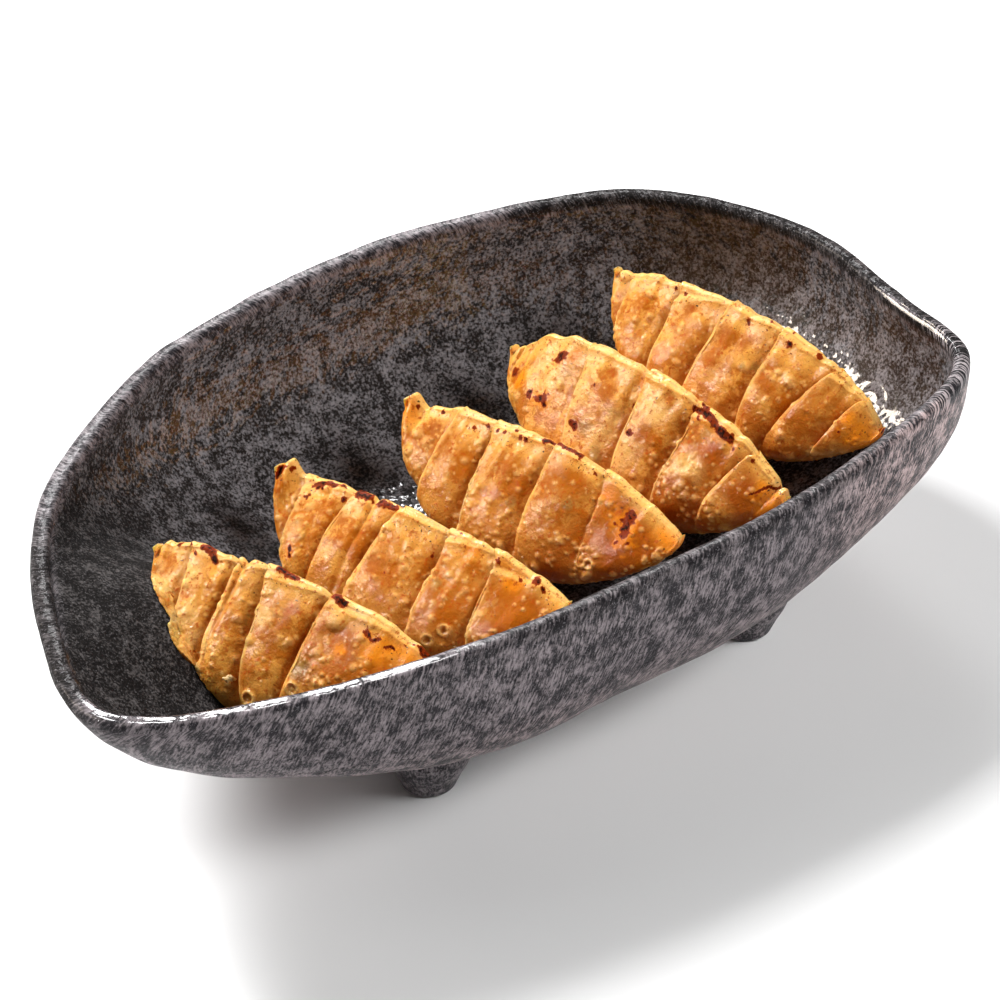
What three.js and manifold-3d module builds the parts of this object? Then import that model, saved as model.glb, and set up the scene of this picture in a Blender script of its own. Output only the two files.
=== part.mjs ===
// Fried gyoza in a footed stoneware dish, in millimetres, +Z up, feet on z = 0.
// The dish's long side runs along X. The dumplings lie across it, tip to tip along Y.
import * as THREE from "three";
import { mergeVertices } from "three/addons/utils/BufferGeometryUtils.js";
import Module from "manifold-3d";

const wasm = await Module();
wasm.setup();

// ---------------------------------------------------------------- driving dimensions

// Dish: rim height, wall, lip and floor.
const RIM_Z = 57;            // height of the lip's middle line above the table
const LIP_R = 2.4;           // radius of the rounded lip
const BODY_DEPTH = 49.5;     // lip middle line down to the underside of the body
const FLOOR_DEPTH = 44;      // lip middle line down to the lowest point of the floor
const SEAT_GAP = 0.55;       // air left between a dumpling and the glaze it rests on
const BOX_SHIFT = [1.1, 1];  // brings the middle of the outer box to x = 0, y = 0

// Hand-shaped leaf plan of the rim: flat towards -Y, arched towards +Y, a blunt
// corner at each end. The lip's middle line passes smoothly through these points.
const RIM_PLAN = [
  [117.3, 14.5], [95, 51], [48.2, 67.7], [12.5, 70.3], [-18, 67], [-47.3, 58.5],
  [-89.2, 30.5], [-113.8, -10], [-119, -41.2], [-85.4, -59.5], [-39.5, -69.4],
  [-2.3, -71.7], [41.7, -71.6], [90.4, -62.7], [112.6, -50.6], [116, -25.9],
];

// How full the wall is every 30 degrees round from +X: 2 is an even curve, more is a
// steeper side with a flatter floor, less is a gentle ramp.
const WALL_FULLNESS = [2.8, 2.9, 2.9, 2.8, 2.4, 1.8, 1, 2.2, 3.45, 3.3, 3.3, 2.6];
const MID_FULLNESS = 2.7;    // the same number for the middle of the floor

// Feet: four tapered nubs, [radius, height] up each one, and where each one stands.
const FOOT_PROFILE = [
  [5.4, 0], [6.3, 0.7], [7, 2.5], [8, 5], [9.4, 8], [10.8, 12], [11.2, 18], [9, 34],
];
const FEET = [[-38.7, -43.2], [54.4, -44.1], [-36, 40], [50, 45]];

// Dumplings. at: middle of the belly on the floor. head: direction of the near tip,
// degrees from +X. length: tip to tip. height: middle of the seam over the belly's
// lowest point. tips: height of the far and the near tip. front: how far the pleated
// belly stands out. lean: how far the seam leans away from the pleats. bend: curve of
// the whole crescent. horn: extra height of the far end of the seam.
// pleats: [place along the seam, drift towards the belly], -1 far tip to 1 near tip.
const DUMPLINGS = [
  {
    at: [-63, -23, 22.2], head: -70.8, length: 74.3, height: 31.3, tips: [24, 24.8],
    front: 16.1, lean: 3.9, bend: -1.1, horn: 2.6,
    pleats: [[-0.72, 0.28], [-0.38, 0.16], [-0.17, 0.22], [0.23, -0.06]],
  },
  {
    at: [-19.4, -10.7, 13.6], head: -73.1, length: 82.5, height: 28.5, tips: [23.6, 22.6],
    front: 16.4, lean: 5.2, bend: -1.9, horn: 4.3,
    pleats: [[-0.78, 0.13], [-0.38, -0.18], [-0.11, -0.21], [0.13, 0.17], [0.35, 0.37]],
  },
  {
    at: [21.2, -4.6, 13.5], head: -76.5, length: 82.6, height: 29.6, tips: [21.3, 21.1],
    front: 15.9, lean: 3.4, bend: -0.8, horn: 3.9,
    pleats: [[-0.55, -0.01], [-0.31, 0.15], [0.08, 0.05], [0.34, 0.28]],
  },
  {
    at: [53.1, -5, 15.3], head: -83.3, length: 91, height: 35, tips: [17.4, 21.6],
    front: 15.3, lean: 2.1, bend: -0.2, horn: 2.4,
    pleats: [[-0.38, 0.23], [-0.02, 0.17], [0.27, 0.07], [0.69, -0.18]],
  },
  {
    at: [84.5, -4.7, 21.7], head: -81.1, length: 85.3, height: 32.2, tips: [23.3, 19],
    front: 15.3, lean: 2.5, bend: 0.4, horn: 2.1,
    pleats: [
      [-0.86, 0.17], [-0.46, 0.08], [-0.11, -0.13], [0.19, -0.01], [0.57, -0.24],
      [0.78, -0.08],
    ],
  },
];
const BACK = 12;             // how far the plain back of a dumpling stands out
const SHEET = 2.6;           // thickness of the pinched seam
const ROLL = 4;              // degrees each dumpling is rolled onto its back
const FOLD = 2.8;            // height of a fold's edge over the fold beside it
const PILLOW = 1.2;          // swelling of the skin between two folds
const SEAM_STEP = 0.9;       // rise of the seam where a fold ends in it
const TIP_DEPTH = [4.5, 2.6]; // least height of the seam over the belly at the tips

// ---------------------------------------------------------------- small helpers

const smooth = (a, b, x) => {
  const t = Math.min(Math.max((x - a) / (b - a), 0), 1);
  return t * t * (3 - 2 * t);
};

// Closed skin over a stack of rings that all have the same number of points, ordered
// so that the surface faces out, with a centre point closing each end.
function skin(rings) {
  const count = rings[0].length;
  const position = rings.flat().flat();
  const index = [];
  for (let i = 0; i < rings.length - 1; i++) {
    for (let j = 0; j < count; j++) {
      const k = (j + 1) % count;
      const [a, b] = [i * count + j, i * count + k];
      const [c, d] = [(i + 1) * count + k, (i + 1) * count + j];
      index.push(a, b, c, a, c, d);
    }
  }
  for (const end of [0, rings.length - 1]) {
    const centre = [0, 1, 2].map((n) => rings[end].reduce((sum, p) => sum + p[n], 0) / count);
    const apex = position.length / 3;
    position.push(...centre);
    for (let j = 0; j < count; j++) {
      const [a, b] = [end * count + j, end * count + ((j + 1) % count)];
      index.push(...(end === 0 ? [b, a, apex] : [a, b, apex]));
    }
  }
  const geometry = new THREE.BufferGeometry();
  geometry.setAttribute("position", new THREE.Float32BufferAttribute(position, 3));
  geometry.setIndex(index);
  return geometry;
}

function toSolid(geometry) {
  const merged = mergeVertices(geometry, 1e-4);
  return new wasm.Manifold(new wasm.Mesh({
    numProp: 3,
    vertProperties: new Float32Array(merged.attributes.position.array),
    triVerts: new Uint32Array(merged.index.array),
  }));
}

function toMesh(solid, name, look) {
  const { vertProperties, triVerts } = solid.getMesh();
  const geometry = new THREE.BufferGeometry();
  geometry.setAttribute("position", new THREE.BufferAttribute(new Float32Array(vertProperties), 3));
  geometry.setIndex(new THREE.BufferAttribute(new Uint32Array(triVerts), 1));
  geometry.computeVertexNormals();
  const mesh = new THREE.Mesh(geometry, new THREE.MeshStandardMaterial(look));
  mesh.name = name;
  return mesh;
}

// ---------------------------------------------------------------- dish

const AROUND = 96;           // points round the rim
const FOOT_SIDES = 28;       // points round a foot
const rimCurve = new THREE.CatmullRomCurve3(
  RIM_PLAN.map(([x, y]) => new THREE.Vector3(x, y, RIM_Z)), true, "catmullrom", 0.5,
);
const fullnessCurve = new THREE.CatmullRomCurve3(
  WALL_FULLNESS.map((n) => new THREE.Vector3(n, 0, 0)), true, "catmullrom", 0.5,
);

// Plan of the rim moved outwards by a distance: one entry per step round the dish.
function planAt(offset) {
  const out = [];
  for (let i = 0; i < AROUND; i++) {
    const p = rimCurve.getPoint(i / AROUND);
    const t = rimCurve.getTangent(i / AROUND);
    out.push([p.x + t.y * offset, p.y - t.x * offset]);
  }
  return out;
}

// Height of a bowl surface above the table. s: 0 in the middle, 1 at the rim.
function bowlHeight(depth, x, y, s) {
  const turn = (Math.atan2(y, x) / (2 * Math.PI) + 1) % 1;
  const blend = smooth(0, 0.75, s);
  const n = MID_FULLNESS + (fullnessCurve.getPoint(turn).x - MID_FULLNESS) * blend;
  return RIM_Z - depth * Math.max(1 - s ** n, 0) ** (1 / n);
}

// Rings of a bowl surface, from near its lowest point up to the given plan. They
// crowd together towards the rim, where the wall is steep.
function bowlRings(offset, depth, steps) {
  const plan = planAt(offset);
  const rings = [];
  for (let k = 1; k <= steps; k++) {
    const s = 1 - (1 - k / steps) ** 1.9;
    rings.push(plan.map(([x, y]) => [x * s, y * s, bowlHeight(depth, x, y, s)]));
  }
  return rings;
}

// Height at which something can rest on the dish's floor over a point of the plan:
// finds the edge a-b of the inner plan that the point's direction crosses.
const cross = (a, b) => a[0] * b[1] - a[1] * b[0];
const floorPlan = planAt(-LIP_R);
function restHeight(x, y) {
  const p = [x, y];
  const next = (i) => floorPlan[(i + 1) % AROUND];
  const crossed = floorPlan.findIndex((a, i) => cross(a, p) >= 0 && cross(p, next(i)) >= 0);
  const a = floorPlan[crossed];
  const b = next(crossed);
  const edge = [b[0] - a[0], b[1] - a[1]];
  const s = Math.min(cross(p, edge) / cross(a, edge), 1);
  return bowlHeight(FLOOR_DEPTH, x, y, s) + SEAT_GAP;
}

// Solid that fills the dish to just under its floor, wall and lip, and carries on
// straight up past the rim: what a foot may not reach into.
function filledBowl() {
  const rings = bowlRings(1 - LIP_R, FLOOR_DEPTH + 1, 14);
  rings.push(rings.at(-1).map(([x, y]) => [x, y, RIM_Z + 30]));
  return toSolid(skin(rings));
}

function makeFoot(x, y) {
  const rings = FOOT_PROFILE.map(([radius, height]) => {
    const ring = [];
    for (let j = 0; j < FOOT_SIDES; j++) {
      const a = (j / FOOT_SIDES) * 2 * Math.PI;
      ring.push([x + radius * Math.cos(a), y + radius * Math.sin(a), height]);
    }
    return ring;
  });
  return toSolid(skin(rings));
}

function makeDish() {
  const lip = [];
  for (const degrees of [36, 72, 108, 144]) {
    const a = THREE.MathUtils.degToRad(degrees);
    const height = RIM_Z + LIP_R * Math.sin(a);
    lip.push(planAt(LIP_R * Math.cos(a)).map(([x, y]) => [x, y, height]));
  }
  const outside = bowlRings(LIP_R, BODY_DEPTH, 10);
  const inside = bowlRings(-LIP_R, FLOOR_DEPTH, 14).reverse();
  const shell = toSolid(skin([...outside, ...lip, ...inside]));
  const contents = filledBowl();
  return FEET.reduce((dish, [x, y]) => dish.add(makeFoot(x, y).subtract(contents)), shell);
}

// ---------------------------------------------------------------- dumplings

// Stations across the first fold, a middle fold and the last fold, 0 far edge to 1
// near edge, and steps down the front (seam to belly) and up the back of a slice.
const FIRST_FOLD = [0, 0.04, 0.12, 0.25, 0.5, 0.75, 0.97];
const MIDDLE_FOLD = [0, 0.2, 0.45, 0.72, 0.97];
const LAST_FOLD = [0, 0.2, 0.4, 0.6, 0.8, 0.94, 1];
const FRONT_STEPS = [0, 0.045, 0.075, 0.16, 0.28, 0.4, 0.52, 0.64, 0.76, 0.88];
const BACK_STEPS = [1, 0.85, 0.7, 0.54, 0.38, 0.22, 0.06];

// Side view of a dumpling at t, -1 far tip to 1 near tip: the height of the arched
// seam above and of the half-moon belly below.
function sideView(d, t) {
  const r = Math.abs(t);
  const tip = d.tips[t < 0 ? 0 : 1];
  const belly = tip * (1 - Math.max(1 - r * r, 0) ** (1 / 1.2));
  const arch = tip + (d.height - tip) * (1 - r ** 2.2);
  const horn = d.horn * Math.exp(-(((t + 0.95) / 0.07) ** 2));
  return { belly, seam: arch + horn };
}

// One point of the skin. fold: number of the fold, x: how far across it,
// q: 0 at the seam, 1 under the belly, side: 1 on the pleated front, -1 on the back.
function skinPoint(d, edges, fold, x, q, side) {
  const left = edges[fold][0] + edges[fold][1] * q;
  const right = edges[fold + 1][0] + edges[fold + 1][1] * q;
  const t = Math.min(Math.max(left + (right - left) * x, -1), 1);
  const r = Math.abs(t);
  const down = (1 - Math.cos(q * Math.PI)) / 2;

  // Length and height: the seam reaches a little past the belly at both tips.
  const { belly, seam } = sideView(d, t);
  const step = (fold > 0 ? 1 - x : 0.4) * (1 - r ** 6) * SEAM_STEP;
  const top = Math.max(seam + step, belly + TIP_DEPTH[t < 0 ? 0 : 1]);
  const flare = t * (1.25 - 0.25 * r ** 1.5);
  const along = (d.length / 2) * (flare * (1 - down) + t * down);
  const up = top + (belly - top) * down;

  // Thickness: a thin sheet at the top opening into a round belly.
  const taper = Math.max(1 - r ** 2.3, 0) ** 0.72;
  const round = Math.sin(q * Math.PI) * Math.sin((q * Math.PI) / 2) ** 1.8 / 0.669;
  const sheet = (SHEET / 2) * Math.sin(Math.min(q * 14, 1) * (Math.PI / 2)) * (1 - down);
  let out = side * ((side > 0 ? d.front : BACK) * taper * round + sheet);
  out -= d.lean * (1 - down) ** 1.3 * taper ** 0.3;
  out += d.bend * (t * t - 0.4);

  // Folds: each one stands proud at its far edge and runs under the next.
  if (side > 0) {
    const proud = fold > 0 ? 1 - x ** 1.6 : 0.5 * (1 - x);
    const starts = 0.55 * smooth(0.05, 0.075, q) + 0.45 * smooth(0.1, 0.35, q);
    const reach = starts * (1 - smooth(0.6, 0.95, q)) * (1 - r ** 5);
    out += (FOLD * (proud - 0.2) + PILLOW * Math.sin(Math.PI * x)) * reach;
  }
  return [along, out, up];
}

// Rolls a dumpling onto its back, turns it and sets it on the floor. The skin that
// would reach below the glaze is flattened against it.
function setDown(d, [u, v, w]) {
  const roll = THREE.MathUtils.degToRad(ROLL);
  const head = THREE.MathUtils.degToRad(d.head);
  const v2 = v * Math.cos(roll) - w * Math.sin(roll);
  const w2 = w * Math.cos(roll) + v * Math.sin(roll);
  const x = d.at[0] + u * Math.cos(head) + v2 * Math.sin(head);
  const y = d.at[1] + u * Math.sin(head) - v2 * Math.cos(head);
  return [x, y, Math.max(d.at[2] + w2, restHeight(x, y))];
}

function makeDumpling(d) {
  const edges = [[-1, 0], ...d.pleats, [1, 0]];
  const lastFold = edges.length - 2;
  const rings = [];
  for (let fold = 0; fold <= lastFold; fold++) {
    const stations = { 0: FIRST_FOLD, [lastFold]: LAST_FOLD }[fold] ?? MIDDLE_FOLD;
    for (const x of stations) {
      const front = FRONT_STEPS.map((q) => skinPoint(d, edges, fold, x, q, 1));
      const back = BACK_STEPS.map((q) => skinPoint(d, edges, fold, x, q, -1));
      rings.push([...front, ...back].map((p) => setDown(d, p)));
    }
  }
  return toSolid(skin(rings));
}

// ---------------------------------------------------------------- the group

const GLAZE = { color: 0x3b3b3e, roughness: 0.32, metalness: 0 };
const SKIN_TONES = [0xd99a52, 0xd8944c, 0xdb9f5a, 0xdda763, 0xd9a05c];

const group = new THREE.Group();
group.name = "gyoza_dish";
group.add(toMesh(makeDish(), "dish", GLAZE));
DUMPLINGS.forEach((d, i) => {
  const look = { color: SKIN_TONES[i], roughness: 0.42, metalness: 0 };
  group.add(toMesh(makeDumpling(d), `dumpling_${i + 1}`, look));
});
group.position.set(...BOX_SHIFT, 0);

export default group;
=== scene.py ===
import math

import bpy
import numpy as np
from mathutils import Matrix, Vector, kdtree


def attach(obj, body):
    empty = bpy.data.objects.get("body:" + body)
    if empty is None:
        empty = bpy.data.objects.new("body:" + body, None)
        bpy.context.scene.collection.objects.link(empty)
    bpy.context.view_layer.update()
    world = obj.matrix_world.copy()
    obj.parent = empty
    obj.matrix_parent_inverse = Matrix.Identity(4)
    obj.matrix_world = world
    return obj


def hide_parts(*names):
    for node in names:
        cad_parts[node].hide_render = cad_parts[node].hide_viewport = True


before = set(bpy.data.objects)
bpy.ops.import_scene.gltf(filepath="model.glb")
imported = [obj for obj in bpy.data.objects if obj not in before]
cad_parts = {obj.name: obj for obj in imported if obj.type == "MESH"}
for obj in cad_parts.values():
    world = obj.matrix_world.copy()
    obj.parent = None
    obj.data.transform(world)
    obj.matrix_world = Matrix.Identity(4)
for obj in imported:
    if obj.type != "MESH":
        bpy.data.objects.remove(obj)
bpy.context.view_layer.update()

# ------------------------------------------------------------------ viewpoint
# The serving seen from the front left, 37 degrees above the table, through a long
# lens, so the far rim is hardly smaller than the near one.
MM = 0.001                # a millimetre; sizes and places here are in millimetres
EYE = (-418.2755, -567.6065, 568.5428)
LOOK_AT = (-6.4179, -27.9795, 57.0)
FOCAL_LENGTH = 136.476
SENSOR_WIDTH = 36
FAR_LIMIT = 20            # metres
lens = bpy.data.cameras.new("viewpoint")
lens.lens = FOCAL_LENGTH
lens.sensor_width = SENSOR_WIDTH
lens.clip_end = FAR_LIMIT
viewpoint = bpy.data.objects.new("viewpoint", lens)
viewpoint.location = Vector(EYE) * MM
viewpoint.rotation_euler = (Vector(LOOK_AT) - Vector(EYE)).to_track_quat("-Z", "Y").to_euler()
bpy.context.collection.objects.link(viewpoint)
bpy.context.scene.camera = viewpoint

# ------------------------------------------------------------------ dish body
# One pulled and pressed stoneware shell with a leaf-shaped plan and a rolled lip.
# It was dipped in a speckled charcoal glaze that went wavy in the kiln.
RIM_Z = 57.0              # height of the lip's middle line
LIP_R = 2.4               # radius of the rolled lip
LIP_FLATNESS = 2.8        # 2 is a true half round
BODY_DEPTH = 49.5         # lip middle line down to the underside
FLOOR_DEPTH = 44.0        # lip middle line down to the floor
FRAME_SHIFT = (1.1, 1.0, 0.0)   # puts the frame's origin in the middle of the outer box
# The lip's middle line in plan, anticlockwise from the blunt end.
RIM_PLAN = [
    (117.3, 14.5), (95, 51), (48.2, 67.7), (12.5, 70.3), (-18, 67), (-47.3, 58.5),
    (-89.2, 30.5), (-113.8, -10), (-119, -41.2), (-85.4, -59.5), (-39.5, -69.4),
    (-2.3, -71.7), (41.7, -71.6), (90.4, -62.7), (112.6, -50.6), (116, -25.9),
]
# How full the bowl is in twelve directions, anticlockwise from +X: the higher the
# number, the flatter the floor and the steeper the wall.
WALL_FULLNESS = [2.8, 2.9, 2.9, 2.8, 2.4, 1.8, 1, 2.2, 3.45, 3.3, 3.3, 2.6]
MID_FULLNESS = 2.7        # the same in the middle of the floor
THROW_STEPS = 640         # points round the rim
WALL_STEPS = 62           # rings from the middle of the floor to the lip
LIP_STEPS = 18            # steps over the lip
GLAZE_SHY = 0.3           # the glaze stays this far inside the lip's outer size
COMB_LEAN = 0.45          # sideways run of the glaze's hairs for each step down
COMB_STRETCH = 0.26       # below 1 the hairs are drawn out down the wall
POOL = (106, -28, 34.5)   # where glaze ran together at the foot of the blunt end's wall
POOL_DEPTH = 1.3
RIPPLE_REACH = 40         # how far from the pool its rings run
RIPPLE_TURN = 78          # radians of the rings over that reach
# Under the lip's crest along the front, a scored line and the ridge that it threw up:
# how far down, half width, height.
SCORING = [(5.7, 0.55, -0.30), (4.6, 0.5, 0.16)]
# Stretches of the rim in degrees, anticlockwise from +X: where one starts, is full,
# begins to fade and ends.
SCORED = (216, 232, 306, 322)
WET_FRONT = (194, 199, 228, 240)
WET_CORNER = (334, 339, 348, 353)
RIDGED = (322, 330, 339, 345)
# Inside the left end: a slightly browner glaze, darkened further as painted shade.
SHADED_BROWN_LEFT = (122, 168, 212, 235)
DIMMED_LIP = [(0.9, (330, 338, 396, 410)), (0.85, (162, 172, 192, 200)),
        (0.45, (232, 245, 308, 322))]     # how much darker the lip is there, then the stretch
# Sizes of the patches in the glaze, and its colours: the ground, the flecks that float
# in it, and grit and pits over both.
FLECK_SIZE = 0.72
HAIR_SIZE = 0.52
RIDGE_SIZE = 0.55
CLOUD_SIZE = 4.5
GROUND = (0.020, 0.018, 0.021)
GROUND_INSIDE = (0.016, 0.013, 0.012)
# Ground inside the left end: a slightly browner glaze, darkened further as painted shade.
GROUND_SHADED_BROWN = (0.006, 0.005, 0.005)
FLECK = (0.292, 0.252, 0.264)
FLECK_INSIDE = (0.250, 0.236, 0.248)
# Pale pinkish flecks of painted light: the white table's reflection low on the outside and light
# on the front near the blunt end.
FLECK_PAINTED_LIGHT = (0.54, 0.41, 0.40)
# Flecks inside the left end: a slightly browner glaze, darkened further as painted shade.
FLECK_SHADED_BROWN = (0.088, 0.080, 0.079)
# Paler flecks where the lip is satin: partly a smoother glaze, partly a painted sheen.
FLECK_SATIN_SHEEN = (0.36, 0.335, 0.345)
FLECK_COMBED = (0.38, 0.335, 0.345)
GRIT = (0.30, 0.28, 0.30)
GRIT_INSIDE = (0.19, 0.18, 0.185)
PIT = (0.008, 0.007, 0.007)


def ease(low, high, value):
    """0 below low, 1 above high, with a soft start and end."""
    t = np.clip((value - low) / (high - low), 0, 1)
    return t * t * (3 - 2 * t)


def stretch(turn, start, full, fades, end):
    """1 along a stretch of the rim, 0 elsewhere, with soft ends; it may cross 360."""
    past = (turn - start) % 360
    return ease(0, full - start, past) * ease(end - start, fades - start, past)


def closed_curve(stations, u):
    """Smooth closed curve through evenly timed stations; u runs from 0 to 1."""
    stations = np.asarray(stations, float)
    count = len(stations)
    x = np.asarray(u, float) % 1 * count
    i = np.floor(x).astype(int)
    t = x - i
    if stations.ndim > 1:
        t = t[..., None]
    a, b, c, d = (stations[(i + k) % count] for k in (-1, 0, 1, 2))
    return 0.5 * (2 * b + (c - a) * t + (2 * a - 5 * b + 4 * c - d) * t**2
                  + (3 * b - a - 3 * c + d) * t**3)


def lumps(points, size, seed):
    """Smooth hand-made unevenness, -1 to 1, with lumps about size mm across."""
    table = np.random.default_rng(seed).uniform(-1, 1, (32, 32, 32))
    place = points / size
    cell = np.floor(place).astype(int)
    part = place - cell
    part = part * part * (3 - 2 * part)
    total = np.zeros(points.shape[:-1])
    for corner in np.ndindex(2, 2, 2):
        weight = np.prod(np.where(corner, part, 1 - part), axis=-1)
        total += weight * table[tuple(((cell + corner) % 32)[..., k] for k in range(3))]
    return total


def rim_plan(offset, count):
    """Plan of the rim, moved outwards by offset."""
    u = np.arange(count) / count
    along = closed_curve(RIM_PLAN, u + 1e-4) - closed_curve(RIM_PLAN, u - 1e-4)
    along /= np.linalg.norm(along, axis=1)[:, None]
    return closed_curve(RIM_PLAN, u) + offset * np.stack([along[:, 1], -along[:, 0]], 1)


def bowl_height(depth, x, y, s):
    """Height of a bowl surface: s is 0 in the middle and 1 at the rim."""
    n = closed_curve(WALL_FULLNESS, np.arctan2(y, x) / (2 * np.pi))
    n = MID_FULLNESS + (n - MID_FULLNESS) * ease(0, 0.75, s)
    return RIM_Z - depth * np.maximum(1 - np.clip(s, 0, 1) ** n, 0) ** (1 / n)


def bowl_rings(offset, depth):
    """Rings of a bowl surface from its middle to the rim, closest together at the rim."""
    plan = rim_plan(offset, THROW_STEPS)
    reach = np.hypot(*plan.T).mean()
    trial = 1 - np.linspace(1, 0, 3000) ** 3
    fall = bowl_height(depth, reach * trial, 0 * trial, trial)
    path = np.cumsum(np.hypot(np.diff(reach * trial, prepend=0), np.diff(fall, prepend=fall[0])))
    share = 1 - np.arange(1, WALL_STEPS + 1) / WALL_STEPS
    s = np.interp(path[-1] * (1 - 0.25 * share - 0.75 * share**2), path, trial)
    x, y = (s[:, None] * plan[:, k] for k in (0, 1))
    return np.stack([x, y, bowl_height(depth, x, y, s[:, None] + 0 * x)], -1)


def ring_skin(rings, loops):
    """Points and faces of a closed skin over rings, with a point in each end."""
    rows, count = rings.shape[:2]
    index = np.arange(rows * count).reshape(rows, count)
    turn = np.roll(index, -1, axis=1)
    quads = np.stack([index[:-1], turn[:-1], turn[1:], index[1:]], -1).reshape(-1, 4)
    ends = rings[[0, -1]].mean(axis=1)
    first, last = rows * count, rows * count + 1
    fans = [(b, a, first) for a, b in zip(index[0], turn[0])]
    fans += [(a, b, last) for a, b in zip(index[-1], turn[-1])]
    loops[:] = [tuple(face) for face in quads.tolist()] + fans
    return np.vstack([rings.reshape(-1, 3), ends])


def make_piece(name, points, faces):
    """A smooth-shaded object from points in millimetres."""
    mesh = bpy.data.meshes.new(name)
    mesh.from_pydata(((points + FRAME_SHIFT) * MM).tolist(), [], faces)
    mesh.update()
    mesh.shade_smooth()
    piece = bpy.data.objects.new(name, mesh)
    bpy.context.collection.objects.link(piece)
    return piece


def move_points(piece, points):
    """Puts a piece's points at new places, in millimetres."""
    placed = ((points + FRAME_SHIFT) * MM).astype(np.float32)
    piece.data.vertices.foreach_set("co", placed.ravel())
    piece.data.update()


def surface_normals(piece):
    """Which way the surface faces at each point of a piece."""
    found = np.empty(len(piece.data.vertices) * 3, np.float32)
    piece.data.vertex_normals.foreach_get("vector", found)
    return found.reshape(-1, 3).astype(float)


def paint(piece, name, amount):
    """Stores how much of something, 0 to 1, there is at each point of a piece."""
    layer = piece.data.attributes.new(name, "FLOAT", "POINT")
    layer.data.foreach_set("value", np.clip(amount, 0, 1).astype(np.float32))


def comb(piece, name, places):
    """Stores the places, in millimetres, that a combed finish follows."""
    layer = piece.data.attributes.new(name, "FLOAT_VECTOR", "POINT")
    layer.data.foreach_set("vector", (places * MM).astype(np.float32).ravel())


class Finish:
    """One finish of this serving, mixed step by step in the piece's own space."""

    def __init__(self, name):
        self.material = bpy.data.materials.new(name)
        self.material.use_nodes = True
        self.tree = self.material.node_tree
        self.surface = self.tree.nodes["Principled BSDF"]
        self.place = self.tree.nodes.new("ShaderNodeTexCoord").outputs["Object"]

    def step(self, kind, feeds, **settings):
        """Adds a node of a kind, with what feeds its sockets."""
        node = self.tree.nodes.new(kind)
        for key, value in settings.items():
            setattr(node, key, value)
        for key, value in feeds.items():
            self.feed(node.inputs[key], value)
        return node

    def feed(self, socket, value):
        """Feeds a socket from another one, or with a fixed number or colour."""
        if isinstance(value, bpy.types.NodeSocket):
            self.tree.links.new(value, socket)
        elif hasattr(value, "__len__") and len(value) == 3 and socket.type == "RGBA":
            socket.default_value = (*value, 1)
        else:
            socket.default_value = value

    def mottle(self, size, detail=3, rough=0.5, warp=0.0, along=None):
        """Cloudy variation with patches about size mm across."""
        return self.step("ShaderNodeTexNoise", {
            "Vector": along or self.place, "Scale": 1 / (size * MM), "Detail": detail,
            "Roughness": rough, "Distortion": warp}).outputs[0]

    def blend(self, amount, under, over):
        """Value under, changed to value over by amount."""
        return self.step("ShaderNodeMix", {0: amount, 2: under, 3: over}).outputs[0]

    def span(self, value, low, high, start=0.0, end=1.0):
        """Rescales value from low..high to start..end with soft ends."""
        feeds = {"Value": value, 1: low, 2: high, 3: start, 4: end}
        return self.step("ShaderNodeMapRange", feeds,
                         interpolation_type="SMOOTHSTEP").outputs[0]

    def sum(self, way, a, b):
        """Works out one sum, such as ADD or MULTIPLY."""
        return self.step("ShaderNodeMath", {0: a, 1: b}, operation=way).outputs[0]

    def tint(self, amount, under, over):
        """Colour under, changed to colour over by amount."""
        feeds = {0: amount, 6: under, 7: over}
        return self.step("ShaderNodeMix", feeds, data_type="RGBA").outputs[2]

    def amount(self, name):
        """What paint() stored under a name."""
        return self.step("ShaderNodeAttribute", {}, attribute_name=name).outputs["Fac"]

    def stack(self, colour, stains):
        """Colour under a stack of painted stains: the name and colour of each."""
        for name, over in stains:
            colour = self.tint(self.amount(name), colour, over)
        return colour

    def relief(self, height, depth, under=None):
        """Fine relief, depth millimetres deep, on top of the relief under it."""
        feeds = {"Height": height, "Distance": depth * MM, "Strength": 1.0}
        if under:
            feeds["Normal"] = under
        return self.step("ShaderNodeBump", feeds).outputs[0]

    def coat(self, **values):
        """Sets the finish's own values, named as on the shader."""
        for key, value in values.items():
            self.feed(self.surface.inputs[key.replace("_", " ")], value)


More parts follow.
